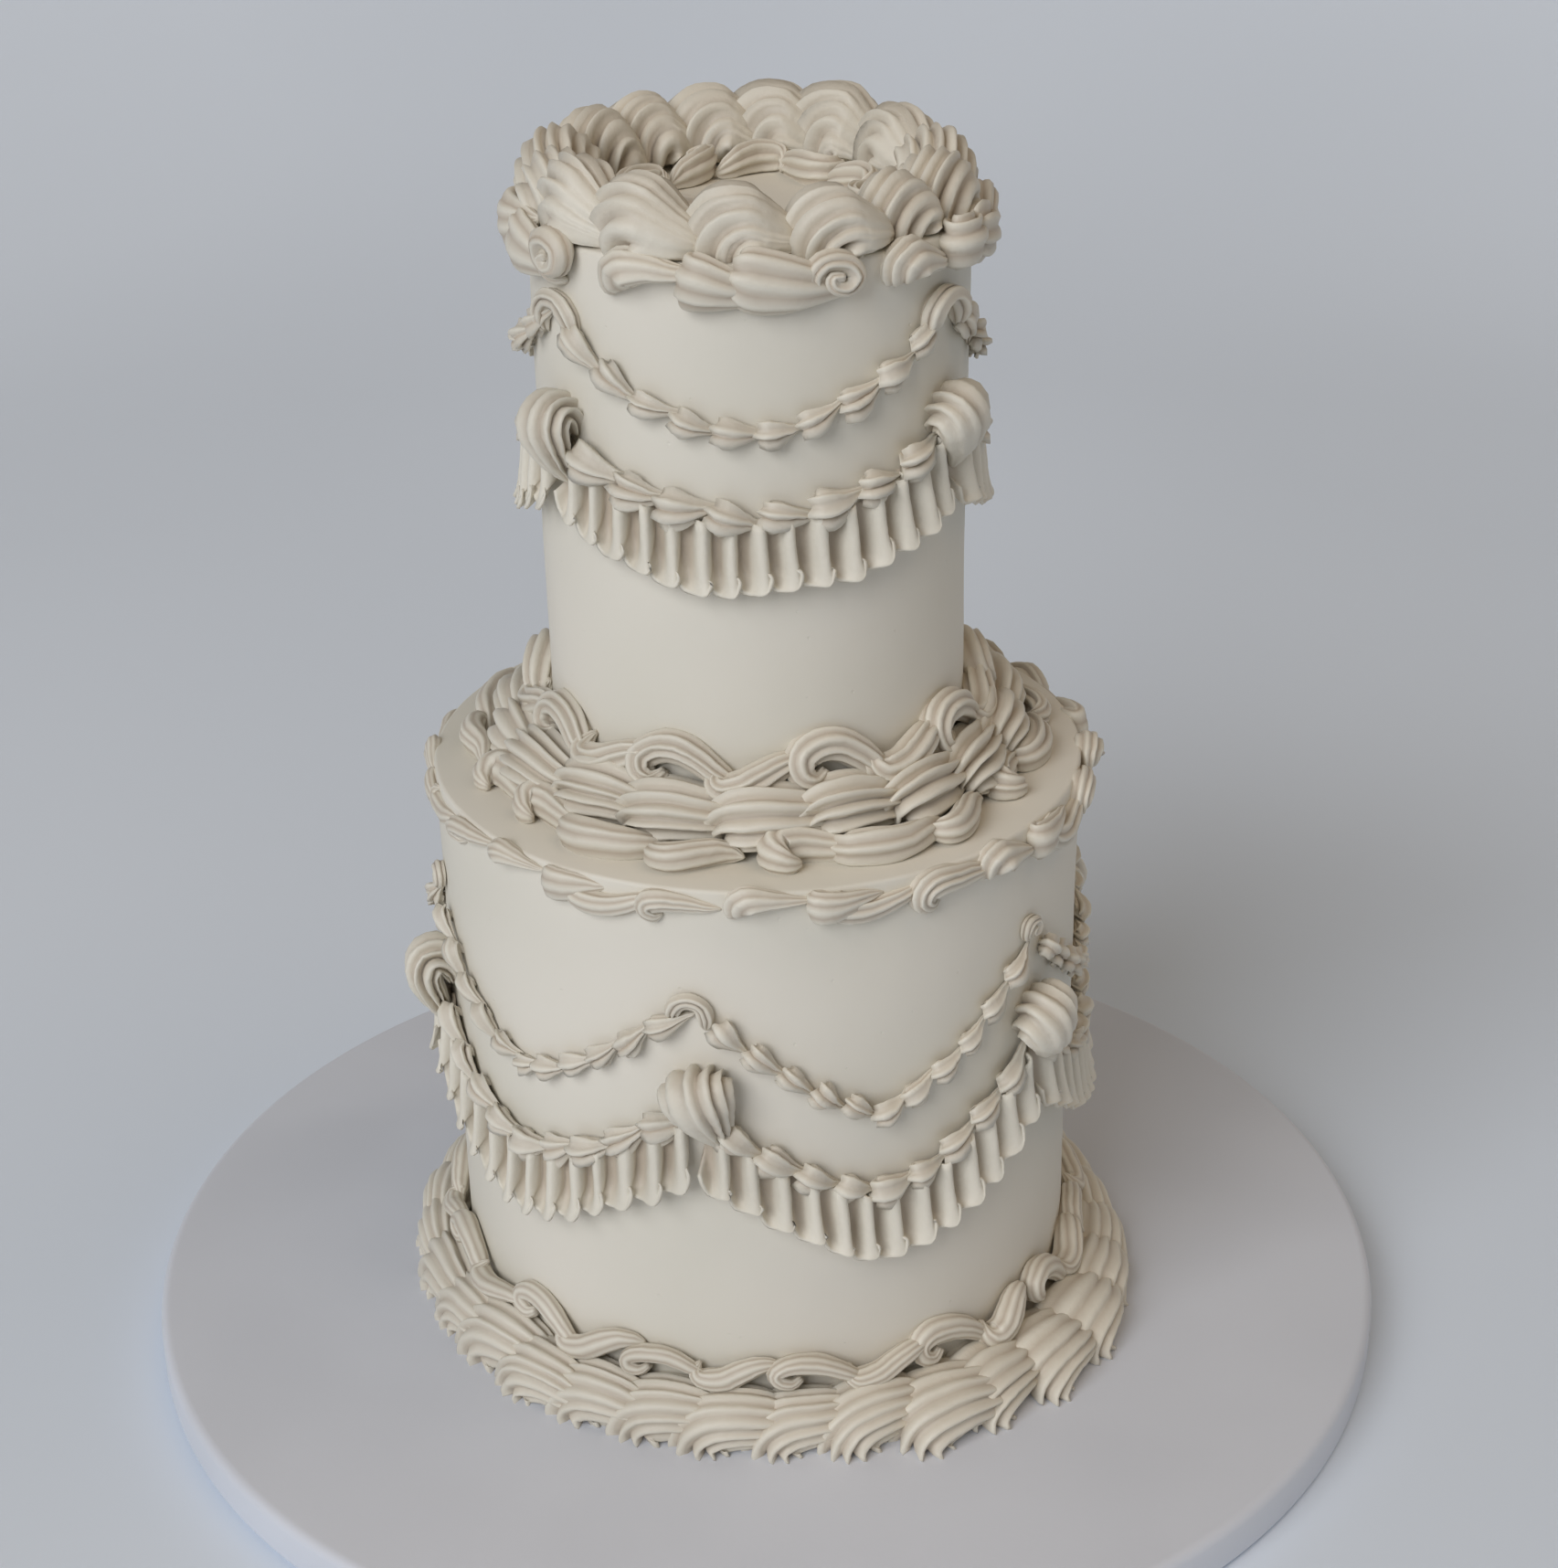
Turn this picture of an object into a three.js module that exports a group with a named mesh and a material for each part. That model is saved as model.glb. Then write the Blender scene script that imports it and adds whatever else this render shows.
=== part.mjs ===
// A two-tier wedding cake coated and piped in buttercream, standing on a round drum board.
// Millimetres, +Z up. The origin is the middle of the board's underside and the front faces -Y.
// A place round the cake is an angle in degrees, from the front towards +X.

import * as THREE from "three";

// Board and tiers
const BOARD_RADIUS = 152.4;
const BOARD_THICKNESS = 12;
const BOARD_EDGE = 3;
const BOARD_FACETS = 56;
const LOWER_RADIUS = 75.5;
const LOWER_HEIGHT = 140;
const LOWER_FACETS = 56;
const UPPER_RADIUS = 47.8;
const UPPER_HEIGHT = 127;
const UPPER_FACETS = 44;

// Heights of the three faces that carry the piping
const BOARD_TOP = BOARD_THICKNESS;
const LOWER_TOP = BOARD_TOP + LOWER_HEIGHT;
const UPPER_TOP = LOWER_TOP + UPPER_HEIGHT;

// Clear space between a piped piece and whatever it touches
const GAP = 0.3;
// Share by which the smallest shell of a row falls short of the largest
const UNEVEN = 0.08;

// The thickness of a shell at equal steps along it, from the dip in front of its head to its tail
const FULL_SHELL = [0.66, 1, 0.95, 0.8];
const SHELL = [0.78, 1, 0.9];
const SCROLL = [0.66, 1, 0.8];
const SMALL_CURL = [0.7, 1];

// Where a scroll leans at each of those steps: -1 is down, 1 is up
const HEAD_DOWN = [1, -1, 0.6];
const HEAD_UP = [-1, 1, -0.8];

// The border on the board is fuller at the front right, and its upper edge falls towards that side
const BORDER_REACH = 87.5;
const BORDER_EXTRA = 9;
const BORDER_EXTRA_AT = 40;
const BORDER_EXTRA_SPREAD = 35;
const BORDER_HEIGHT = 15;
const BORDER_FALL = 3;
const CURL_WIDTH = 6.5;
const CURL_HEIGHT = 8.8;
const CURL_SINK = 1.2;

// Swags round each tier. Heights are above the tier's foot. The plain garland runs over the shell
// garland, and a pleated ruffle hangs from the shell garland. Every swag's lowest point is a
// little off the others', by the steps in `offLevel`.
const UPPER_SWAGS = {
  tier: "upper",
  radius: UPPER_RADIUS,
  foot: LOWER_TOP,
  junctions: [-56, 56, 180],
  offLevel: [0, -1, 1],
  plain: { beads: 10, peak: 113, low: 92, curve: 1.8, clear: 4.4, width: 3.3, depth: 4.2 },
  shells: { beads: 8, peak: 87, low: 74, curve: 2, clear: 11, width: 4, depth: 5.4 },
  ruffle: { pleats: 15, clear: 2, drop: 19.5, depth: 5.6, shallow: 3.2 },
  fan: { width: 15, height: 19, depth: 9.5, middle: 87 },
  peak: { width: 8, height: 12, depth: 6, middle: 113 },
};
const LOWER_SWAGS = {
  tier: "lower",
  radius: LOWER_RADIUS,
  foot: BOARD_TOP,
  junctions: [-77, -11, 53, 110.5, 168, 225.5],
  offLevel: [2.5, -2, 0, 1, -1, 1],
  plain: { beads: 11, peak: 112, low: 87, curve: 1.35, clear: 2.4, width: 3, depth: 4 },
  shells: { beads: 9, peak: 86, low: 66.5, curve: 1.5, clear: 7.5, width: 3.7, depth: 5.2 },
  ruffle: { pleats: 13, clear: 1.5, drop: 19.5, depth: 5.2, shallow: 3 },
  fan: { width: 17, height: 21, depth: 9, middle: 90.5 },
  peak: { width: 5.6, height: 7, depth: 5, middle: 113 },
};

const BUTTERCREAM = { color: 0xd9d2c2, roughness: 0.62, metalness: 0 };
const BOARD_WRAP = { color: 0xc9c9cd, roughness: 0.5, metalness: 0 };

// Moves every vertex of a geometry to where `place` puts it.
function reshape(geometry, place) {
  const position = geometry.attributes.position;
  for (let i = 0; i < position.count; i++) {
    const moved = place(new THREE.Vector3().fromBufferAttribute(position, i));
    position.setXYZ(i, moved.x, moved.y, moved.z);
  }
  geometry.computeVertexNormals();
  return geometry;
}

// The point at an angle round the cake, a radius and a height.
function around(angle, radius, height) {
  const turn = THREE.MathUtils.degToRad(angle);
  return new THREE.Vector3(radius * Math.sin(turn), -radius * Math.cos(turn), height);
}

// A steady value from 0 to 1 that differs from one shell to the next.
function chance(index) {
  return THREE.MathUtils.euclideanModulo(Math.sin(index * 12.9898) * 43758.5453, 1);
}

// A place between `low` and `high` for a section of a given size that leans to one of them.
function between([low, high], across, size, lean) {
  return (low + high) / 2 + ((high - low) / 2) * (size * across + lean * (1 - size));
}

// Board: a drum with rounded edges.
function board() {
  const inset = BOARD_RADIUS - BOARD_EDGE;
  const profile = [
    [0, 0],
    [inset, 0],
    [BOARD_RADIUS, BOARD_EDGE],
    [BOARD_RADIUS, BOARD_THICKNESS - BOARD_EDGE],
    [inset, BOARD_THICKNESS],
    [0, BOARD_THICKNESS],
  ].map(([radius, height]) => new THREE.Vector2(radius, height));
  return new THREE.LatheGeometry(profile, BOARD_FACETS).rotateX(Math.PI / 2);
}

// Tier: a straight-sided cylinder with a sharp top edge.
function tier(radius, foot, height, facets) {
  const cylinder = new THREE.CylinderGeometry(radius, radius, height, facets);
  return cylinder.rotateX(Math.PI / 2).translate(0, 0, foot + height / 2);
}

// Row: a closed ring of shells or scrolls, each one running into the next. `across` and `upright`
// give the ring's inner and outer radius and its lowest and highest point at an angle. A row
// stands on its lowest height unless `lean` says otherwise, and is square where it meets a wall.
// `crowd` is how many degrees its shells shift from the front, where they are broader, to the back.
function row({ shells, sides, swell, lean, onWall = true, start, crowd = 0, across, upright }) {
  const steps = shells * swell.length;
  const ring = new THREE.TorusGeometry(2, 1, sides, steps);
  return reshape(ring, (p) => {
    const share = THREE.MathUtils.euclideanModulo(Math.atan2(p.y, p.x) / (2 * Math.PI), 1);
    const step = Math.round(share * steps) % steps;
    const part = step % swell.length;
    const size = swell[part] * (1 - UNEVEN * chance((step - part) / swell.length));
    const even = start + (360 * step) / steps;
    const angle = even + crowd * Math.sin(THREE.MathUtils.degToRad(even));
    const outwards = Math.hypot(p.x, p.y) - 2;
    const square = onWall && outwards < 0 ? 1 / Math.max(-outwards, Math.abs(p.z)) : 1;
    const radius = between(across(angle), outwards * square, size, onWall ? -1 : 0);
    const height = between(upright(angle), p.z * square, size, lean ? lean[part] : -1);
    return around(angle, radius, height);
  });
}

// Height of a swag's line at a share of the way along it, from -1 to 1.
function droop({ peak, low, curve }, share, offLevel) {
  const sag = Math.abs(share) ** curve;
  return low + offLevel + (peak - low - offLevel) * sag;
}

// Garland: a row of small shells on the wall, each with a ridge down its middle.
function garland(swags, line, from, to, offLevel) {
  const { radius, foot } = swags;
  const steps = 2 * line.beads;
  const bar = new THREE.CylinderGeometry(1, 1, 1, 3, steps);
  const half = (to - from) / 2;
  const reach = half - line.clear;
  const perDegree = (Math.PI / 180) * (radius + line.depth / 2);
  return reshape(bar, (p) => {
    const step = Math.round((p.y + 0.5) * steps);
    const swollen = step % 2 === 1;
    const along = swollen ? step - 0.3 : step;
    const share = (along / steps) * 2 - 1;
    const size = swollen ? 1 - UNEVEN * chance(step) : 0.55;
    const angle = share * reach;
    const height = (turn) => foot + droop(line, turn / half, offLevel);
    const slope = (height(angle + 0.5) - height(angle - 0.5)) / perDegree;
    const length = Math.hypot(1, slope);
    const off = (-p.x * line.width * size) / length;
    return around(
      (from + to) / 2 + angle - (off * slope) / perDegree,
      radius + GAP + (line.depth * size * (p.z + 0.5)) / 1.5,
      height(angle) + off,
    );
  });
}

// Ruffle: a pleated skirt that hangs from under a shell garland and flares out at its hem.
function ruffle(swags, from, to, offLevel) {
  const { radius, foot, shells, ruffle: skirt, fan } = swags;
  const steps = 2 * skirt.pleats;
  const bar = new THREE.CylinderGeometry(1, 1, 1, 3, steps);
  const half = (to - from) / 2;
  const fanHalf = THREE.MathUtils.radToDeg(fan.width / 2 / radius);
  const fanFoot = foot + fan.middle - fan.height / 2;
  return reshape(bar, (p) => {
    const step = Math.round((p.y + 0.5) * steps);
    const angle = ((step / steps) * 2 - 1) * (half - skirt.clear);
    const line = foot + droop(shells, angle / half, offLevel);
    const underFan = half - Math.abs(angle) < fanHalf + 1;
    const under = line - shells.width - 2 * GAP;
    const top = underFan ? Math.min(under, fanFoot - GAP) : under;
    const hem = line - skirt.drop;
    const depth = step % 2 === 1 ? skirt.depth : skirt.shallow;
    const front = p.z > 0;
    const low = front || p.x > 0;
    return around(
      (from + to) / 2 + angle,
      radius + GAP + (front ? depth : 0),
      low ? hem : top,
    );
  });
}

// Fan: a shell over each junction, broad at its head and drawn to a point at its foot.
function fan({ radius, foot, fan: shell }, angle) {
  return reshape(new THREE.SphereGeometry(1, 7, 4), (p) => {
    const broad = p.y > 0 ? 1 : 1 + 0.45 * p.y;
    const sideways = THREE.MathUtils.radToDeg((p.x * broad * shell.width) / 2 / radius);
    return around(
      angle + sideways,
      radius + GAP + (shell.depth * (p.z + 1) * broad) / 2,
      foot + shell.middle + (p.y * shell.height) / 2,
    );
  });
}

// Peak: the drop of icing where two plain garlands meet.
function peak({ radius, foot, peak: drop }, angle) {
  return reshape(new THREE.SphereGeometry(1, 5, 3), (p) => {
    const narrow = 1 - 0.25 * p.y;
    return around(
      angle + THREE.MathUtils.radToDeg((p.x * narrow * drop.width) / 2 / radius / 1.3),
      radius + GAP + (drop.depth * (p.z + 1)) / 2,
      foot + drop.middle + (p.y * drop.height) / 2,
    );
  });
}

function borderReach(angle) {
  const away = THREE.MathUtils.euclideanModulo(angle - BORDER_EXTRA_AT + 180, 360) - 180;
  return BORDER_REACH + BORDER_EXTRA * Math.exp(-((away / BORDER_EXTRA_SPREAD) ** 2));
}

function borderTop(angle) {
  return BOARD_TOP + BORDER_HEIGHT - BORDER_FALL * Math.sin(THREE.MathUtils.degToRad(angle));
}

const group = new THREE.Group();

function add(name, geometry, finish = BUTTERCREAM) {
  const mesh = new THREE.Mesh(geometry, new THREE.MeshStandardMaterial(finish));
  mesh.name = name;
  group.add(mesh);
}

add("board", board(), BOARD_WRAP);
add("lower_tier", tier(LOWER_RADIUS, BOARD_TOP, LOWER_HEIGHT, LOWER_FACETS));
add("upper_tier", tier(UPPER_RADIUS, LOWER_TOP, UPPER_HEIGHT, UPPER_FACETS));

// Crown of the upper tier: big shells on its top edge, scrolls on the wall under them, and
// scrolls on the top face inside them
add("top_rim_shells", row({
  shells: 15, sides: 6, swell: FULL_SHELL, onWall: false, start: -66, crowd: 5.7,
  across: () => [32.4, 50.8],
  upright: () => [UPPER_TOP + GAP, UPPER_TOP + 16],
}));
add("top_side_scrolls", row({
  shells: 18, sides: 4, swell: SCROLL, lean: HEAD_DOWN, start: -8,
  across: () => [UPPER_RADIUS + GAP, 52.8],
  upright: () => [UPPER_TOP - 8.6, UPPER_TOP - 0.1],
}));
add("top_inner_scrolls", row({
  shells: 10, sides: 4, swell: SCROLL, onWall: false, start: 0,
  across: () => [24.4, 31.8],
  upright: () => [UPPER_TOP + GAP, UPPER_TOP + 5.5],
}));

// Border at the foot of the upper tier: curls on the wall, big shells in the corner and scrolls
// lying on the lower tier's top
add("upper_base_curls", row({
  shells: 18, sides: 4, swell: SCROLL, lean: HEAD_UP, start: -26,
  across: () => [UPPER_RADIUS + GAP, 55],
  upright: () => [LOWER_TOP + 12.4, LOWER_TOP + 21.6],
}));
add("upper_base_shells", row({
  shells: 18, sides: 6, swell: SHELL, start: -32,
  across: () => [UPPER_RADIUS + GAP, 61.2],
  upright: () => [LOWER_TOP + GAP, LOWER_TOP + 12],
}));
add("upper_base_scrolls", row({
  shells: 19, sides: 4, swell: SCROLL, onWall: false, start: -16,
  across: () => [61.6, 68.4],
  upright: () => [LOWER_TOP + GAP, LOWER_TOP + 6],
}));

// Edging just below the lower tier's top edge
add("lower_rim_scrolls", row({
  shells: 16, sides: 4, swell: SCROLL, lean: HEAD_DOWN, start: -56,
  across: () => [LOWER_RADIUS + GAP, 79.8],
  upright: () => [LOWER_TOP - 9, LOWER_TOP - 1],
}));

// Border at the foot of the lower tier: big shells on the board and curls on the wall over them
add("lower_base_shells", row({
  shells: 32, sides: 5, swell: SHELL, start: -18,
  across: (angle) => [LOWER_RADIUS + GAP, borderReach(angle)],
  upright: (angle) => [BOARD_TOP + GAP, borderTop(angle)],
}));
add("lower_base_curls", row({
  shells: 28, sides: 4, swell: SMALL_CURL, start: 1,
  across: () => [LOWER_RADIUS + GAP, LOWER_RADIUS + CURL_WIDTH],
  upright: (angle) => [borderTop(angle) - CURL_SINK, borderTop(angle) + CURL_HEIGHT],
}));

// Swags: for each gap between junctions a plain garland, a shell garland and its ruffle, and at
// each junction a fan and a peak
for (const swags of [UPPER_SWAGS, LOWER_SWAGS]) {
  swags.junctions.forEach((from, index) => {
    const after = swags.junctions[index + 1] ?? swags.junctions[0] + 360;
    const number = index + 1;
    const off = swags.offLevel[index];
    add(`${swags.tier}_plain_garland_${number}`, garland(swags, swags.plain, from, after, off));
    add(`${swags.tier}_shell_garland_${number}`, garland(swags, swags.shells, from, after, off));
    add(`${swags.tier}_ruffle_${number}`, ruffle(swags, from, after, off));
    add(`${swags.tier}_fan_shell_${number}`, fan(swags, from));
    add(`${swags.tier}_garland_peak_${number}`, peak(swags, from));
  });
}

export default group;
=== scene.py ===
"""A two-tier wedding cake: smooth buttercream coats, star-tip shells, scrolls and garlands,
petal-tip ruffles, and the round drum board that it stands on.

Sizes are in millimetres and places are angles in degrees, from the front (-Y) towards +X, a radius
and a height. A stroke of icing is first piped flat, along X with Y across and Z up off the surface,
and then bent round its tier. The mesh itself is in metres.
"""

import math
import random
from collections import namedtuple

import bmesh
import bpy
from mathutils import Matrix, Vector, noise


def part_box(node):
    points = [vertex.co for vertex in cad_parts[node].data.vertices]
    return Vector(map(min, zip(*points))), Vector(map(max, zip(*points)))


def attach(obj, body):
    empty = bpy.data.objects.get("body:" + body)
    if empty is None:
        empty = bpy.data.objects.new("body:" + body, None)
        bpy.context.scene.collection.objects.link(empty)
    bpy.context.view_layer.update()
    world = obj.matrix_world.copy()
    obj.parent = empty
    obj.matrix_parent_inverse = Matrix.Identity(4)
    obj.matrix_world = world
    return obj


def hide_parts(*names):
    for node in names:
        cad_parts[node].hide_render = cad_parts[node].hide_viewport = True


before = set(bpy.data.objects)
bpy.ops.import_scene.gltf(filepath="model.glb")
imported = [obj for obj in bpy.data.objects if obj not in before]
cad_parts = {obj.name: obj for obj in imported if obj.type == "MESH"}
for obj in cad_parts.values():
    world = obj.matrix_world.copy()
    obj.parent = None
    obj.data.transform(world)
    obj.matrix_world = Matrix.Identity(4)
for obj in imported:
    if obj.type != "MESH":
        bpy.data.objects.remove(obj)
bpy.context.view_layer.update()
MM = 0.001
SEED = 7
# Blender's vector noise starts from the clock unless it is given a seed
noise.seed_set(SEED)

# ---------------------------------------------------------------- sizes taken from the frame


def node_size(name):
    """A node's largest radius and its lowest and highest point, in millimetres."""
    low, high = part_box(name)
    return max(high.x, -low.x) / MM, low.z / MM, high.z / MM


BOARD_RADIUS, BOARD_FOOT, BOARD_TOP = node_size("board")
LOWER_RADIUS, LOWER_FOOT, LOWER_TOP = node_size("lower_tier")
UPPER_RADIUS, UPPER_FOOT, UPPER_TOP = node_size("upper_tier")

# ---------------------------------------------------------------- the way a stroke is piped

# A stroke of icing:
# - stations: (along, across, up, half width, half height, groove) at each. The last three shape
#   the star's ring, which stands square to the path, and groove is a share of the stroke's own.
# - side: the way that the ring's width points.
# - flutes: how many ridges the star has, with a groove between one and the next.
# - groove: how deep a groove cuts, as a share of the ring's half size.
# - rings: how many rings of verts lie along the stroke.
# - flat: the share of its height that the ring keeps on its underside, or in a curl on the right
#   of its way. 1 is not pressed flat at all.
# - teeth: how many millimetres the ridges stick out of the stroke's open end.
# - twist: how many radians the ridges wind along it.
# - near: how far the grooves fade past the head, on the side that `side` points away from.
# - far: how far they fade in the head, on the other side.
# - press: the share of the length over which the ring, flat on the surface at first, turns up.
Stroke = namedtuple(
    "Stroke", "stations side flutes groove rings flat teeth twist near far press",
    defaults=(0, 0, 0))
ACROSS, UP = Vector((0, 1, 0)), Vector((0, 0, 1))

# The flute between one groove and the next: where each of its verts lies, and how deep
FLUTE = ((0.0, 1.0), (0.2, 0.5), (0.41, 0.06), (0.59, 0.0), (0.8, 0.5))
# The least and the most that a flute's width and depth come to, next to an even one's
FLUTE_WIDTHS, FLUTE_DEPTHS = (0.7, 1.35), (0.6, 1.35)
# How far the star's points stand out round the foot of a shell that is pressed down, as a share
POINT_OUT = 0.22
# How sharply a stroke's near side gives way to its far side
SIDE_SHARPNESS = 1.2
# How fast fading sets in past the head, from a quarter of the length, and ends within the head
PAST_RATE, PAST_START, HEAD_RATE = 3.6, 0.9, 2.6
# How fast the teeth draw back from the open end: they are gone after a fifth of the length
TEETH_RATE = 5

# Shells: shares of the shell's length, half width and height. The icing wells up from the
# surface, rolls over to the right and is drawn down to a thin tail.
SHELL_PATH = (
    (0.50, 0, 0.00, 0.66, 0.30, 1.20),
    (0.31, 0, 0.09, 0.88, 0.40, 1.35),
    (0.18, 0, 0.24, 1.00, 0.46, 1.30),
    (0.18, 0, 0.41, 1.03, 0.48, 1.10),
    (0.36, 0, 0.50, 0.97, 0.47, 1.00),
    (0.62, 0, 0.42, 0.80, 0.41, 1.35),
    (0.88, 0, 0.28, 0.57, 0.31, 1.80),
    (1.14, 0, 0.15, 0.29, 0.18, 1.50),
    (1.32, 0, 0.09, 0.06, 0.05, 0.00),
)
# The crown's shells turn about a point low at the right of the head: far out, little in
CROWN_SHELL = Stroke((
    (0.526, 0, 0.066, 0.78, 0.80, 1.5),
    (0.522, 0, 0.117, 0.98, 0.90, 1.5),
    (0.543, 0, 0.164, 1.06, 0.96, 1.4),
    (0.586, 0, 0.194, 1.08, 0.89, 1.1),
    (0.640, 0, 0.200, 1.02, 0.72, 1.0),
    (0.760, 0, 0.190, 0.90, 0.57, 1.2),
    (0.930, 0, 0.160, 0.70, 0.42, 1.5),
    (1.120, 0, 0.110, 0.40, 0.23, 1.5),
    (1.320, 0, 0.080, 0.06, 0.05, 0.0),
), ACROSS, 18, 0.22, 36, 0.2, 0, 0.1, 0.9, 0.9)
SMALL_SHELL = Stroke(SHELL_PATH, ACROSS, 8, 0.28, 22, 1, 0, 0.3)
DROP = SMALL_SHELL._replace(groove=0.13)
# A long low shell, pressed into the board with the star's points showing as teeth round its foot
BOARD_SHELL = Stroke((
    (0.44, 0, 0.00, 1.05, 0.54, 1.90),
    (0.41, 0, 0.09, 1.12, 0.55, 1.30),
    (0.46, 0, 0.21, 1.10, 0.54, 0.95),
    (0.62, 0, 0.33, 1.05, 0.51, 0.75),
    (0.90, 0, 0.39, 0.98, 0.47, 0.70),
    (1.24, 0, 0.37, 0.86, 0.42, 0.90),
    (1.58, 0, 0.28, 0.60, 0.32, 1.10),
    (1.84, 0, 0.17, 0.28, 0.16, 1.00),
    (2.00, 0, 0.10, 0.05, 0.05, 0.00),
), ACROSS, 15, 0.2, 28, 1, 0, 0.10, 0, 0, 0.36)
# A fan: an upright shell with a smooth shoulder at one side and keen ridges at the other
FAN_SHELL = Stroke(SHELL_PATH, ACROSS, 11, 0.34, 28, 0.6, 0, 0.1, 0.9)

# A shell pulled sideways: an open star of pointed ridges, which run nearly straight to the tail
PULLED_PATH = (
    (-0.26, 0, 0.36, 0.30, 0.26, 1.00),
    (-0.27, 0, 0.40, 0.82, 0.46, 1.35),
    (-0.15, 0, 0.44, 1.02, 0.56, 1.10),
    (0.12, 0, 0.46, 1.00, 0.56, 0.90),
    (0.46, 0, 0.42, 0.84, 0.48, 0.95),
    (0.80, 0, 0.31, 0.58, 0.35, 1.10),
    (1.08, 0, 0.19, 0.32, 0.20, 1.00),
    (1.25, 0, 0.10, 0.07, 0.05, 0.00),
)
PULLED_SHELL = Stroke(PULLED_PATH, ACROSS, 13, 0.36, 24, 0.7, 3.8, 0.3)
SMALL_PULLED = Stroke(PULLED_PATH, ACROSS, 8, 0.32, 18, 0.7, 1.4, 0.4)
# A small shell of a garland: a jagged flared head and a thin tail
BEAD = Stroke((
    (-0.16, 0, 0.34, 0.46, 0.34, 1.00),
    (-0.24, 0, 0.40, 0.90, 0.54, 1.15),
    (-0.10, 0, 0.46, 1.06, 0.60, 1.05),
    (0.14, 0, 0.45, 0.92, 0.54, 1.00),
    (0.42, 0, 0.34, 0.60, 0.40, 1.00),
    (0.74, 0, 0.21, 0.34, 0.24, 1.00),
    (1.04, 0, 0.13, 0.20, 0.14, 1.00),
    (1.18, 0, 0.10, 0.06, 0.05, 0.00),
), ACROSS, 6, 0.5, 14, 0.7, 2.6, 0.5)

# Curls: millimetres. An arch hooks back under itself at its left foot and runs down to the right.
ARCH = Stroke((
    (-2.2, 4.8, 2.0, 1.6, 1.4, 0.6),
    (-4.4, 2.9, 2.4, 2.5, 2.2, 1.0),
    (-7.3, 3.9, 2.7, 3.1, 2.9, 1.0),
    (-7.7, 7.2, 2.9, 3.4, 3.3, 1.0),
    (-4.3, 9.5, 2.9, 3.6, 3.5, 1.0),
    (0.8, 9.5, 2.9, 3.6, 3.5, 1.0),
    (5.5, 7.4, 2.6, 3.3, 3.2, 1.0),
    (9.2, 4.7, 2.2, 2.7, 2.6, 1.0),
    (12.0, 2.7, 1.6, 1.6, 1.5, 1.0),
    (13.8, 1.6, 1.2, 0.3, 0.3, 0.0),
), UP, 8, 0.28, 28, 1, 0, 0.5)
# A cup dips first and then rises under the next arch
CUP = Stroke((
    (-8.2, 7.4, 1.2, 0.5, 0.5, 0.8),
    (-9.2, 4.8, 2.4, 2.5, 2.2, 1.0),
    (-7.0, 2.8, 2.7, 3.3, 3.3, 1.0),
    (-2.2, 3.2, 2.9, 3.5, 3.6, 1.0),
    (2.3, 5.4, 2.8, 3.4, 3.5, 1.0),
    (6.6, 7.3, 2.5, 3.0, 2.9, 1.0),
    (10.6, 7.6, 1.9, 2.0, 1.8, 1.0),
    (13.2, 6.8, 1.4, 0.3, 0.3, 0.0),
), UP, 8, 0.28, 24, 1, 0, 0.5)
# A comma hooks down at the left of a level tail
COMMA = Stroke((
    (0.8, -4.4, 0.9, 0.6, 0.6, 0.6),
    (-0.9, -4.9, 1.3, 1.8, 1.8, 1.0),
    (-2.9, -3.4, 1.8, 2.7, 2.7, 1.0),
    (-2.6, -1.0, 2.0, 3.1, 3.2, 1.0),
    (0.4, 0.1, 2.0, 3.1, 3.2, 1.0),
    (4.2, -0.2, 1.7, 2.7, 2.8, 1.0),
    (8.2, -0.9, 1.4, 2.0, 2.2, 1.0),
    (11.8, -1.5, 1.0, 1.3, 1.4, 1.0),
    (14.4, -1.9, 0.7, 0.3, 0.3, 0.0),
), UP, 8, 0.26, 24, 1, 0, 0.7)
# A hook starts high, dips and rises again
HOOK = Stroke((
    (-4.6, 0.4, 0.8, 0.5, 0.5, 0.6),
    (-6.8, -1.2, 1.5, 1.9, 1.9, 1.0),
    (-6.2, -3.4, 1.8, 2.6, 2.8, 1.0),
    (-2.6, -4.6, 1.9, 2.9, 3.1, 1.0),
    (2.2, -4.4, 1.8, 2.7, 2.9, 1.0),
    (6.6, -2.9, 1.6, 2.2, 2.3, 1.0),
    (10.0, -1.5, 1.2, 1.3, 1.3, 1.0),
    (12.0, -0.8, 0.8, 0.3, 0.3, 0.0),
), UP, 7, 0.3, 20, 1, 0, 0.7)
# A knob: a short fat curl whose ridges nest at its foot
KNOB = Stroke((
    (2.5, -3.0, 1.0, 1.6, 3.6, 1.2),
    (2.4, -2.5, 1.3, 2.6, 4.6, 1.3),
    (2.6, -2.1, 1.5, 3.1, 4.9, 1.2),
    (3.1, -1.8, 1.6, 3.2, 4.4, 0.9),
    (5.2, -1.8, 1.4, 2.6, 3.2, 0.7),
    (8.0, -2.2, 1.1, 1.9, 2.2, 0.8),
    (11.0, -2.6, 0.8, 1.1, 1.2, 0.9),
    (13.4, -2.8, 0.6, 0.3, 0.3, 0.0),
), UP, 11, 0.2, 24, 0.25, 0, 0.1)
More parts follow.
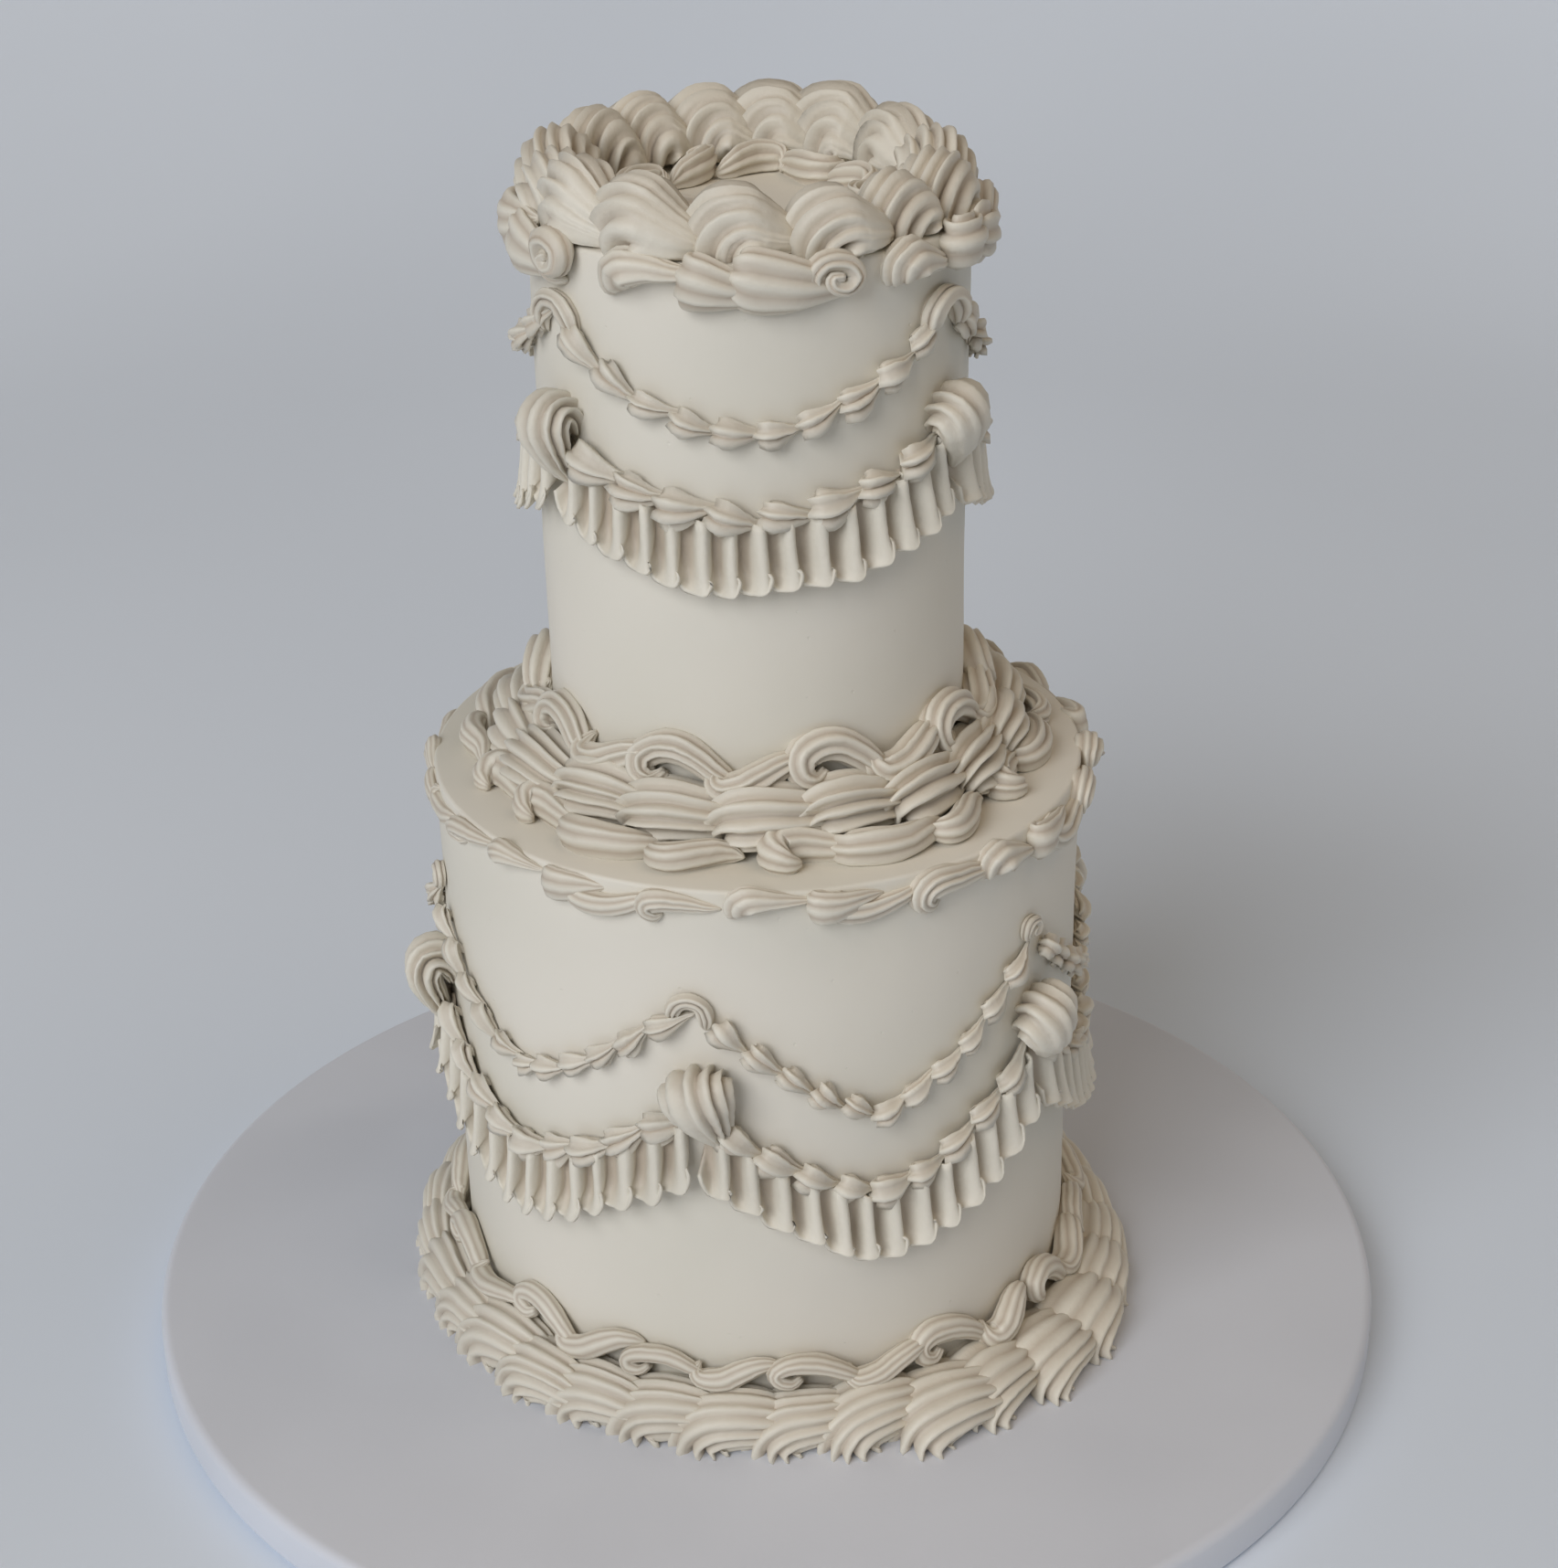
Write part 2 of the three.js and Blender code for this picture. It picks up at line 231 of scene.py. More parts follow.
# A round spiral with its loose end tucked behind
SPIRAL = Stroke((
    (0.6, 4.3, 3.8, 1.2, 1.1, 0.5),
    (-1.3, 3.7, 3.5, 1.7, 1.5, 1.0),
    (-0.6, 1.8, 3.1, 2.0, 1.8, 1.0),
    (2.1, 1.9, 2.9, 2.3, 2.0, 1.0),
    (3.4, 4.8, 2.7, 2.5, 2.3, 1.0),
    (1.0, 7.2, 2.5, 2.7, 2.5, 1.0),
    (-2.9, 6.6, 2.2, 2.8, 2.6, 1.0),
    (-4.6, 3.2, 1.8, 2.6, 2.4, 1.0),
    (-2.8, -0.2, 1.4, 1.9, 1.7, 1.0),
    (0.6, -1.2, 1.0, 0.5, 0.5, 0.0),
), UP, 6, 0.28, 30, 1, 0, 0.6)
# Two short arms over the end of a garland
BOW = Stroke((
    (-5.2, -6.0, 1.6, 1.0, 1.0, 0.8),
    (-5.6, -3.8, 2.0, 2.6, 2.6, 1.1),
    (-4.6, -0.4, 2.2, 2.8, 2.8, 1.0),
    (-1.6, 2.0, 2.3, 2.6, 2.5, 1.0),
    (2.4, 1.8, 2.2, 2.6, 2.5, 1.0),
    (4.9, -1.2, 2.1, 2.8, 2.8, 1.0),
    (5.8, -4.4, 1.8, 2.0, 2.0, 1.0),
    (6.2, -6.8, 1.4, 0.3, 0.3, 0.0),
), UP, 6, 0.32, 24, 1, 1.0, 0.5)


def smooth_through(stations, count):
    """Samples of a smooth curve through the stations, at even steps."""
    spans = len(stations) - 1
    samples = []
    for step in range(count):
        place = step * spans / (count - 1)
        first = min(int(place), spans - 1)
        t = place - first
        near = [stations[min(max(first + k, 0), spans)] for k in (-1, 0, 1, 2)]
        samples.append([
            b + 0.5 * t * (c - a + t * (2 * a - 5 * b + 4 * c - d + t * (3 * (b - c) + d - a)))
            for a, b, c, d in zip(*near)
        ])
    return samples


def ring_frames(stroke, size):
    """For each ring of a stroke, the matrix of its half sizes, way and middle, and its groove."""
    length, width, height = size
    samples = smooth_through(stroke.stations, stroke.rings)
    middles = [Vector((a * length, c * width, u * height)) for a, c, u, _, _, _ in samples]
    thick, deep = (width, height) if stroke.side == ACROSS else (height, width)
    frames = []
    for k, (_, _, _, wide, high, groove) in enumerate(samples):
        ahead = (middles[min(k + 1, stroke.rings - 1)] - middles[max(k - 1, 0)]).normalized()
        if k < stroke.press * stroke.rings:
            ahead = UP.slerp(ahead, k / stroke.press / stroke.rings)
        face = ahead.cross(stroke.side) if stroke.side == ACROSS else stroke.side.cross(ahead)
        face.normalize()
        turn = Matrix((stroke.side * wide * thick, face * high * deep, ahead)).transposed()
        frames.append((Matrix.Translation(middles[k]) @ turn.to_4x4(), groove))
    return frames


def star_end(bm, stroke, spot):
    """The closed end that a stroke grows from. Each rim vert keeps its place round the star."""
    count = stroke.flutes * len(FLUTE)
    bmesh.ops.create_circle(bm, cap_ends=True, cap_tris=True, segments=count, radius=1)
    for vert in bm.verts:
        rim = vert.co.length > 0.5
        place = round(math.atan2(vert.co.y, vert.co.x) / math.tau * count) % count
        vert[spot] = place if rim else -1


def uneven_edges(count, chance):
    """Where each flute of a star starts, as a share of the way round: no two are equally wide."""
    widths = [chance.uniform(*FLUTE_WIDTHS) for _ in range(count)]
    return [sum(widths[:k]) / sum(widths) for k in range(count + 1)]


def groove_fade(stroke, turn, along):
    """What is left of the grooves at a turn round the ring and a share of the way along."""
    near = min(1, max(0, 0.5 - SIDE_SHARPNESS * math.cos(turn)))
    past_head = min(1, max(0, PAST_RATE * along - PAST_START))
    in_head = max(0, 1 - HEAD_RATE * along)
    return 1 - stroke.near * near * past_head - stroke.far * (1 - near) * in_head


def pipe(stroke, size, chance):
    """One stroke of icing, laid flat: a star pulled along the stations, ring by ring, with its
    grooves' painted shade.
    """
    bm = bmesh.new()
    spot = bm.verts.layers.int.new("spot")
    painted_shade = bm.verts.layers.float.new("groove")
    star_end(bm, stroke, spot)
    verts, edges = bm.verts[:], [edge for edge in bm.edges if edge.is_boundary]
    depths = [chance.uniform(*FLUTE_DEPTHS) for _ in range(stroke.flutes)]
    edges_at = uneven_edges(stroke.flutes, chance)
    roll = chance.uniform(0, 1)
    for k, (matrix, groove) in enumerate(ring_frames(stroke, size)):
        if k:
            grown = bmesh.ops.extrude_edge_only(bm, edges=edges)["geom"]
            verts = [part for part in grown if isinstance(part, bmesh.types.BMVert)]
            edges = [part for part in grown if isinstance(part, bmesh.types.BMEdge)]
        for vert in verts:
            flute, step = divmod(max(vert[spot], 0), len(FLUTE))
            across, depth = FLUTE[step]
            share = edges_at[flute] + (edges_at[flute + 1] - edges_at[flute]) * across
            turn = math.tau * share + roll + stroke.twist * k / stroke.rings
            fade = groove_fade(stroke, turn, k / stroke.rings)
            dip = depth * depths[flute] * groove * fade
            reach = 1 - stroke.groove * dip if vert[spot] >= 0 else 0
            # The points stand out over the first half of the press
            if k < stroke.press * stroke.rings * 0.5 and vert[spot] >= 0:
                reach += POINT_OUT * (0.5 - depth) * (1 - 2 * k / stroke.press / stroke.rings)
            down = stroke.flat if math.sin(turn) < 0 else 1
            lead = stroke.teeth * (1 - depth) * max(0, 1 - TEETH_RATE * k / stroke.rings)
            star = Vector((reach * math.cos(turn), reach * down * math.sin(turn), -lead))
            vert.co = matrix @ star
            # Painted shade: how deep in a groove the vert lies, for the material to darken it
            vert[painted_shade] = depth * min(1, groove) * fade
    bmesh.ops.pointmerge(bm, verts=verts, merge_co=matrix.translation)
    return bm


# ---------------------------------------------------------------- laying strokes on the cake

# How a flat stroke's along, across and up lie on a surface: X round the cake, Y outwards, Z up
ON_TOP = Matrix(((1, 0, 0, 0), (0, -1, 0, 0), (0, 0, 1, 0), (0, 0, 0, 1)))
ON_WALL = Matrix(((1, 0, 0, 0), (0, 0, 1, 0), (0, 1, 0, 0), (0, 0, 0, 1)))

# How quickly a stroke's slow wander and its small ripple change, per millimetre
WANDER_RATE, RIPPLE_RATE = 0.11, 0.6
# How many millimetres each kind of piece wanders and ripples
ROUGH = {
    "row": (0.5, 0.16), "garland": (0.4, 0.26), "ruffle": (0.3, 0.12), "fan": (0.5, 0.3),
    "bow": (0.3, 0.14),
}


def roughen(bm, kind):
    """The unevenness of a hand-piped stroke: a slow wander and a small ripple."""
    coarse, fine = ROUGH[kind]
    for vert in bm.verts:
        place = vert.co / MM
        wander = noise.noise_vector(place * WANDER_RATE) * coarse
        ripple = noise.noise_vector(place * RIPPLE_RATE) * fine
        vert.co += (wander + ripple) * MM


def lay(bm, way, angle, radius, height, tilt=0.0, yaw=0.0):
    """Bends a flat stroke round the cake into its place. A tilt leans it towards the middle."""
    turn = Matrix.Rotation(math.radians(yaw), 4, "Z")
    lean = Matrix.Rotation(math.radians(tilt), 4, "X")
    bmesh.ops.transform(bm, matrix=lean @ way @ turn, verts=bm.verts)
    for vert in bm.verts:
        out = radius + vert.co.y
        place = math.radians(angle) + vert.co.x / radius
        vert.co = Vector((out * math.sin(place), -out * math.cos(place), height + vert.co.z)) * MM


def empty_row():
    """The mesh that the strokes of a row are added to."""
    bm = bmesh.new()
    bm.verts.layers.int.new("spot")
    # The groove layer carries the painted shade of the grooves
    bm.verts.layers.float.new("groove")
    return bm


def join(whole, stroke):
    """Adds a stroke to the mesh of its row."""
    mesh = bpy.data.meshes.new("stroke")
    stroke.to_mesh(mesh)
    stroke.free()
    whole.from_mesh(mesh)
    bpy.data.meshes.remove(mesh)


def finish_piece(name, bm, material, nodes=None):
    """Makes the object, hangs it on the cake's body and hides the plain solid it stands for."""
    bmesh.ops.recalc_face_normals(bm, faces=bm.faces)
    for face in bm.faces:
        face.smooth = True
    mesh = bpy.data.meshes.new(name)
    bm.to_mesh(mesh)
    bm.free()
    mesh.materials.append(material)
    piece = bpy.data.objects.new(name, mesh)
    bpy.context.scene.collection.objects.link(piece)
    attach(piece, "root")
    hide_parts(*(nodes or [name]))


# ---------------------------------------------------------------- materials

# Sockets by number, where several of a node's sockets share one name
RANGE_VALUE, RANGE_LOW, RANGE_HIGH, RANGE_TOP = 0, 1, 2, 4
MIX_FACTOR, MIX_FIRST, MIX_SECOND, MIX_COLOUR = 0, 6, 7, 2
# Where the drift from one colour to the other starts and ends on the noise
DRIFT_START, DRIFT_END = 0.35, 0.65


def linear(hex_colour):
    """An sRGB hex colour as the linear colour that the shaders take."""
    parts = [int(hex_colour[k:k + 2], 16) / 255 for k in (1, 3, 5)]
    return [p / 12.92 if p <= 0.04045 else ((p + 0.055) / 1.055) ** 2.4 for p in parts] + [1.0]


def add_node(tree, kind, settings=None, links=None):
    """Adds a node. A setting is an attribute or an input, and a link is (input, (node, output))."""
    node = tree.nodes.new(kind)
    for name, value in (settings or {}).items():
        if isinstance(name, str) and hasattr(node, name):
            setattr(node, name, value)
        else:
            node.inputs[name].default_value = value
    for name, (source, output) in (links or {}).items():
        tree.links.new(source.outputs[output], node.inputs[name])
    return node


def new_material(name):
    """An empty node material and its tree."""
    material = bpy.data.materials.new(name)
    material.use_nodes = True
    material.node_tree.nodes.clear()
    return material, material.node_tree


def finish_material(tree, settings, links):
    """Ends a material with its surface shader."""
    surface = add_node(tree, "ShaderNodeBsdfPrincipled", settings, links)
    add_node(tree, "ShaderNodeOutputMaterial", links={"Surface": (surface, "BSDF")})


def per_mm(spacing):
    """The noise scale that repeats about every so many millimetres."""
    return 1 / (spacing * MM)


def mixed_colour(tree, places, spacing, detail, low, high):
    """A colour that drifts between two hex colours over the surface."""
    drift = add_node(tree, "ShaderNodeTexNoise", {"Scale": per_mm(spacing), "Detail": detail},
                     {"Vector": (places, "Object")})
    ramp = add_node(tree, "ShaderNodeValToRGB", links={"Fac": (drift, "Fac")})
    start, end = ramp.color_ramp.elements
    start.position, start.color = DRIFT_START, linear(low)
    end.position, end.color = DRIFT_END, linear(high)
    return ramp


def buttercream_coat():
    """Buttercream scraped smooth: a soft matt skin, faintly mottled, with a few tiny air pits."""
    material, tree = new_material("buttercream_scraped_smooth")
    places = add_node(tree, "ShaderNodeTexCoord")
    colour = mixed_colour(tree, places, 60, 1, "#DCD7C9", "#E3DDD0")
    smear = add_node(tree, "ShaderNodeTexNoise", {"Scale": per_mm(9), "Detail": 2.0},
                     {"Vector": (places, "Object")})
    pits = add_node(tree, "ShaderNodeTexVoronoi", {"Scale": per_mm(7)},
                    {"Vector": (places, "Object")})
    pit = add_node(tree, "ShaderNodeMapRange", {RANGE_LOW: 0.03, RANGE_HIGH: 0.06},
                   {RANGE_VALUE: (pits, "Distance")})
    lie = add_node(tree, "ShaderNodeBump", {"Strength": 0.25, "Distance": 0.4 * MM},
                   {"Height": (smear, "Fac")})
    relief = add_node(tree, "ShaderNodeBump", {"Strength": 0.35, "Distance": 0.25 * MM},
                      {"Height": (pit, "Result"), "Normal": (lie, "Normal")})
    finish_material(tree, {"Roughness": 0.58, "IOR": 1.45},
                    {"Base Color": (colour, "Color"), "Normal": (relief, "Normal")})
    return material


def buttercream_piped():
    """Piped buttercream: the same icing, glossier from the tip, with painted shade in its grooves
    and hollows.
    """
    material, tree = new_material("buttercream_piped")
    places = add_node(tree, "ShaderNodeTexCoord")
    colour = mixed_colour(tree, places, 35, 1, "#D9D3C4", "#E1DBCC")
    # Painted shade: the groove attribute mixes the icing towards a warm brown deep in grooves and
    # ruffle hollows
    groove = add_node(tree, "ShaderNodeAttribute", {"attribute_name": "groove"})
    deep = add_node(tree, "ShaderNodeMapRange", {RANGE_TOP: 0.5}, {RANGE_VALUE: (groove, "Fac")})
    shaded = add_node(tree, "ShaderNodeMix", {"data_type": "RGBA", MIX_SECOND: linear("#957A5F")},
                      {MIX_FACTOR: (deep, "Result"), MIX_FIRST: (colour, "Color")})
    drag = add_node(tree, "ShaderNodeTexNoise",
                    {"Scale": per_mm(1.4), "Detail": 2.0, "Roughness": 0.6},
                    {"Vector": (places, "Object")})
    relief = add_node(tree, "ShaderNodeBump", {"Strength": 0.35, "Distance": 0.3 * MM},
                      {"Height": (drag, "Fac")})
    finish_material(tree, {"Roughness": 0.5, "IOR": 1.45},
                    {"Base Color": (shaded, MIX_COLOUR), "Normal": (relief, "Normal")})
    return material


def board_wrap():
    """Paper-backed wrap on a drum board: matt grey-white with a fine tooth."""
    material, tree = new_material("matt_board_wrap")
    places = add_node(tree, "ShaderNodeTexCoord")
    colour = mixed_colour(tree, places, 45, 1, "#D2D5DC", "#D7DAE1")
    tooth = add_node(tree, "ShaderNodeTexNoise", {"Scale": per_mm(0.9), "Detail": 1.0},
                     {"Vector": (places, "Object")})
    relief = add_node(tree, "ShaderNodeBump", {"Strength": 0.12, "Distance": 0.15 * MM},
                      {"Height": (tooth, "Fac")})
    finish_material(tree, {"Roughness": 0.5, "IOR": 1.5},
                    {"Base Color": (colour, "Color"), "Normal": (relief, "Normal")})
    return material


COAT = buttercream_coat()
PIPED = buttercream_piped()
WRAP = board_wrap()

# ---------------------------------------------------------------- board and tiers

# How many sides a slab's circle has, how many millimetres wide its rounded edge is, and in how
# many steps that is rounded
BOARD_SIDES, BOARD_EDGE, BOARD_EDGE_STEPS = 224, 2.4, 4
COAT_SIDES, COAT_EDGE, COAT_EDGE_STEPS = 160, 0.9, 3
# Level bands up a coat, and the rings on its top as shares of half its radius
COAT_BANDS, TOP_INSETS = 24, (0.25, 0.35, 0.5)
# The dips that a scraper leaves: how many millimetres deep, and how quickly they change
SLOW_DIP, SMALL_DIP, TOP_DIP = (0.45, 0.028), (0.12, 0.09), (0.25, 0.04)
# How many millimetres a coat's radius is narrower at its foot than at its top
LOWER_NARROWING, UPPER_NARROWING = 1.2, 0.3
# A vert within this many millimetres of the axis is the middle of the top, and one above this
# share of the height is on the top
AT_AXIS, AT_TOP = 1e-3, 0.999


def drum(radius, foot, top, sides, rounding, edge_steps):
    """A round slab with its edges rounded off."""
    bm = bmesh.new()
    bmesh.ops.create_cone(bm, cap_ends=True, segments=sides, radius1=radius, radius2=radius,
                          depth=top - foot, matrix=Matrix.Translation((0, 0, (foot + top) / 2)))
    rims = [edge for edge in bm.edges
            if len(edge.link_faces) == 2 and any(len(face.verts) > 4 for face in edge.link_faces)]
    bmesh.ops.bevel(bm, geom=rims, offset=rounding, segments=edge_steps, profile=0.5,
                    affect="EDGES", material=-1)
    return bm


def cut_rounds(bm, heights):
    """Adds a level ring of edges at each height."""
    for height in heights:
        geom = list(bm.verts) + list(bm.edges) + list(bm.faces)
        bmesh.ops.bisect_plane(bm, geom=geom, dist=1e-5, plane_co=(0, 0, height),
                               plane_no=(0, 0, 1))


def make_board():
    """The round drum board, with the rounded edge of its wrap."""
    bm = drum(BOARD_RADIUS, BOARD_FOOT, BOARD_TOP, BOARD_SIDES, BOARD_EDGE, BOARD_EDGE_STEPS)
    bmesh.ops.scale(bm, vec=(MM, MM, MM), verts=bm.verts)
    finish_piece("cake_board", bm, WRAP, ["board"])


def scraped(place, dip):
    """How many millimetres a dip moves a place on a coat."""
    deep, rate = dip
    return deep * noise.noise(place * rate)


def make_tier(name, node, radius, foot, top, narrowing):
    """A coated tier: nearly upright, with a crisp top edge and the slow dips a scraper leaves."""
    bm = drum(radius, foot, top, COAT_SIDES, COAT_EDGE, COAT_EDGE_STEPS)
    cut_rounds(bm, [foot + (top - foot) * k / COAT_BANDS for k in range(1, COAT_BANDS)])
    caps = [face for face in bm.faces if len(face.verts) > 4 and face.normal.z > 0.5]
    for share in TOP_INSETS:
        bmesh.ops.inset_region(bm, faces=caps, thickness=radius * share * 0.5, use_even_offset=True)
    for vert in bm.verts:
        if math.hypot(vert.co.x, vert.co.y) < AT_AXIS:
            continue
        level = (vert.co.z - foot) / (top - foot)
        dip = scraped(vert.co, SLOW_DIP) + scraped(vert.co, SMALL_DIP)
        scale = 1 + (dip - narrowing * (1 - level)) / radius
        vert.co.x *= scale
        vert.co.y *= scale
        if level > AT_TOP:
            vert.co.z += scraped(vert.co, TOP_DIP)
    bmesh.ops.scale(bm, vec=(MM, MM, MM), verts=bm.verts)
    finish_piece(name, bm, COAT, [node])


# ---------------------------------------------------------------- rows of shells and scrolls

# How many degrees a stroke may stand off its even place in a row, either way
ROW_WOBBLE = 0.8
# What is left of a smeared stroke's grooves at the front and back, and how much more is left at
# the right and less at the left
SMEAR_MIDDLE, SMEAR_SWING = 0.68, 0.32


def row(name, count, start, stroke_for):
    """A row right round the cake. `stroke_for` pipes and lays stroke number k at an angle."""
    chance = random.Random(f"{SEED} {name}")
    whole = empty_row()
    for k in range(count):
        angle = start + 360 * k / count + chance.uniform(-ROW_WOBBLE, ROW_WOBBLE)
        join(whole, stroke_for(k, angle, chance))
    roughen(whole, "row")
    finish_piece(name, whole, PIPED)


def varied(chance, size, share):
    """A size a little off its nominal one, each way on its own."""
    return tuple(part * chance.uniform(1 - share, 1 + share) for part in size)


def smeared(stroke, angle):
    """The stroke with shallower grooves towards the cake's left, where the icing is smeared."""
    left = SMEAR_MIDDLE + SMEAR_SWING * math.sin(math.radians(angle))
    return stroke._replace(groove=stroke.groove * left)


def arch_or_cup(k):
    """Arches and cups by turns."""
    return CUP if k % 2 else ARCH


# The crown: how many shells, on what radius, and how many degrees they crowd towards the back
CROWN_COUNT, CROWN_RADIUS, CROWN_CROWD = 15, 40, 5.7
# The shells between these angles run the other way round
CROWN_TURNED = (84, 290)
# A shell's half width and height, by how much the height swings, the angles at which the shells
# are tallest and lowest, and over how many degrees the swing spreads
CROWN_WIDTH, CROWN_HEIGHT, CROWN_SWING = 9.3, 16.4, 2.2
CROWN_TALL_AT, CROWN_LOW_AT, CROWN_SPREAD = 168, 32, 36


def bump(angle, middle, spread):
    """A smooth rise to 1 round an angle."""
    away = (angle - middle + 180) % 360 - 180
    return math.exp(-(away / spread) ** 2)


def crown_height(angle):
    """The shells are tallest at the back and lowest at the front right."""
    taller = CROWN_SWING * bump(angle, CROWN_TALL_AT, CROWN_SPREAD)
    lower = CROWN_SWING * bump(angle, CROWN_LOW_AT, CROWN_SPREAD)
    return CROWN_HEIGHT + taller - lower


def make_crown():
    """Big shells on the top edge, leaning over it. Those at the back run the other way round."""
    def shell(k, angle, chance):
        even = 360 / CROWN_COUNT
        turned = CROWN_TURNED[0] < angle % 360 < CROWN_TURNED[1]
        angle += even if turned else 0
        place = math.radians(angle)
        crowding = 1 + math.radians(CROWN_CROWD) * math.cos(place)
        pitch = math.radians(even * crowding) * CROWN_RADIUS
        size = (pitch, CROWN_WIDTH, crown_height(angle))
        bm = pipe(CROWN_SHELL, varied(chance, size, share=0.06), chance)
        lay(bm, ON_TOP, angle + CROWN_CROWD * math.sin(place), CROWN_RADIUS, UPPER_TOP - 0.4,
            tilt=chance.uniform(-10, -2), yaw=chance.uniform(-8, 8) + (180 if turned else 0))
        return bm

    row("top_rim_shells", count=CROWN_COUNT, start=-61, stroke_for=shell)


# Each scroll under the crown: its stroke, its size and how far it is under the top edge
SIDE_SCROLLS = (
    (SMALL_PULLED, (15, 6.6, 7.2), 2.6), (SPIRAL, (1.1, 1.05, 1.2), 6.2),
    (KNOB, (1.4, 1.7, 1.5), 1.2), (SMALL_SHELL, (14, 6.4, 7.6), 2.2),
)


def make_side_scrolls():
    """Pulled shells, spirals, knobs and small shells by turns, tucked in under the crown."""
    def scroll(k, angle, chance):
        stroke, size, drop = SIDE_SCROLLS[k % len(SIDE_SCROLLS)]
        bm = pipe(smeared(stroke, angle), varied(chance, size, share=0.12), chance)
        lay(bm, ON_WALL, angle, UPPER_RADIUS - 0.6, UPPER_TOP - drop, yaw=chance.uniform(-20, 20))
        return bm

    row("top_side_scrolls", count=20, start=2, stroke_for=scroll)


def make_inner_scrolls():
    """Loose curls lying on the top inside the crown."""
    def scroll(k, angle, chance):
        bm = pipe(arch_or_cup(k), varied(chance, (0.86, 0.72, 1.15), share=0.12), chance)
        lay(bm, ON_TOP, angle, chance.uniform(28, 31), UPPER_TOP - 0.3, yaw=chance.uniform(-35, 35))
        return bm

    row("top_inner_scrolls", count=10, start=0, stroke_for=scroll)


# The border at the upper tier's foot: how many shells, and how far out from the wall they lie
UPPER_SHELL_COUNT, UPPER_SHELL_OUT = 18, 5.4
# Each scroll outside them: its stroke, its size and its radius
BASE_SCROLLS = (
    (COMMA, (1.25, 1.2, 1.5), 60.5), (HOOK, (1.3, 1.2, 1.6), 60.5), (CUP, (1, 0.9, 1.1), 69.5),
)


def make_upper_base():
    """Border at the upper tier's foot: curls on the wall, shells in the corner, scrolls outside."""
    def curl(k, angle, chance):
        bm = pipe(arch_or_cup(k), varied(chance, (0.98, 1.1, 1.25), share=0.08), chance)
        lay(bm, ON_WALL, angle, UPPER_RADIUS + 2.2, LOWER_TOP + 8.6, tilt=chance.uniform(18, 26),
            yaw=chance.uniform(-7, 7))
        return bm

    row("upper_base_curls", count=18, start=-20, stroke_for=curl)
    middle = UPPER_RADIUS + UPPER_SHELL_OUT
    pitch = math.radians(360 / UPPER_SHELL_COUNT) * middle

    def shell(k, angle, chance):
        bm = pipe(PULLED_SHELL, varied(chance, (pitch, 8.8, 15.4), share=0.08), chance)
        lay(bm, ON_TOP, angle, middle, LOWER_TOP, tilt=chance.uniform(-14, -6),
            yaw=chance.uniform(-3, 10))
        return bm

    row("upper_base_shells", count=UPPER_SHELL_COUNT, start=-41, stroke_for=shell)

    def scroll(k, angle, chance):
        stroke, size, radius = BASE_SCROLLS[k % len(BASE_SCROLLS)]
        bm = pipe(smeared(stroke, angle), varied(chance, size, share=0.08), chance)
        lay(bm, ON_TOP, angle, radius, LOWER_TOP, yaw=chance.uniform(-8, 8))
        return bm

    row("upper_base_scrolls", count=19, start=-50, stroke_for=scroll)


# The edging's size next to its full one, and how much fuller it is at the right; and how far under
# the lower tier's top edge it runs
EDGING_SIZE, EDGING_SWING, EDGING_DOWN = 0.86, 0.2, 2.8


def make_rim_edging():
    """Knobs, shells, hooks and commas by turns, just under the edge of the lower tier."""
    def scroll(k, angle, chance):
        full = EDGING_SIZE + EDGING_SWING * math.sin(math.radians(angle))
        stroke, size, rise = (
            (KNOB, (1.25, 1.5 * full, 1.35 * full), 1.6),
            (DROP, (13.5, 5 * full, 5.8 * full), -1.2),
            (HOOK, (1.05, 1.15 * full, full), 1.2),
            (COMMA, (1.05, 1.1 * full, 1.05 * full), 0.2),
        )[k % 4]
        bm = pipe(smeared(stroke, angle), varied(chance, size, share=0.12), chance)
        lay(bm, ON_WALL, angle, LOWER_RADIUS - 0.7, LOWER_TOP - EDGING_DOWN + rise,
            yaw=chance.uniform(-8, 8))
        return bm

    row("lower_rim_scrolls", count=32, start=-49, stroke_for=scroll)


# The border on the board: how many shells, how far they reach out from the wall, how much further
# at the fullest angle and over how many degrees, how tall they are, and how much lower at the right
BORDER_COUNT, BORDER_REACH, BORDER_SWELL = 32, 12, 9
BORDER_FULL_AT, BORDER_SPREAD = 40, 35
BORDER_HEIGHT, BORDER_LEAN = 15, 3
# The curls over it: their groove, their size next to a full one and how much fuller at the right
CURL_GROOVE, CURL_SIZE, CURL_SWING = 0.16, 0.8, 0.12


def border_reach(angle):
    """The border on the board is fuller at the front right."""
    return BORDER_REACH + BORDER_SWELL * bump(angle, BORDER_FULL_AT, BORDER_SPREAD)


def border_height(angle):
    """The border on the board is taller at the left."""
    return BORDER_HEIGHT - BORDER_LEAN * math.sin(math.radians(angle))


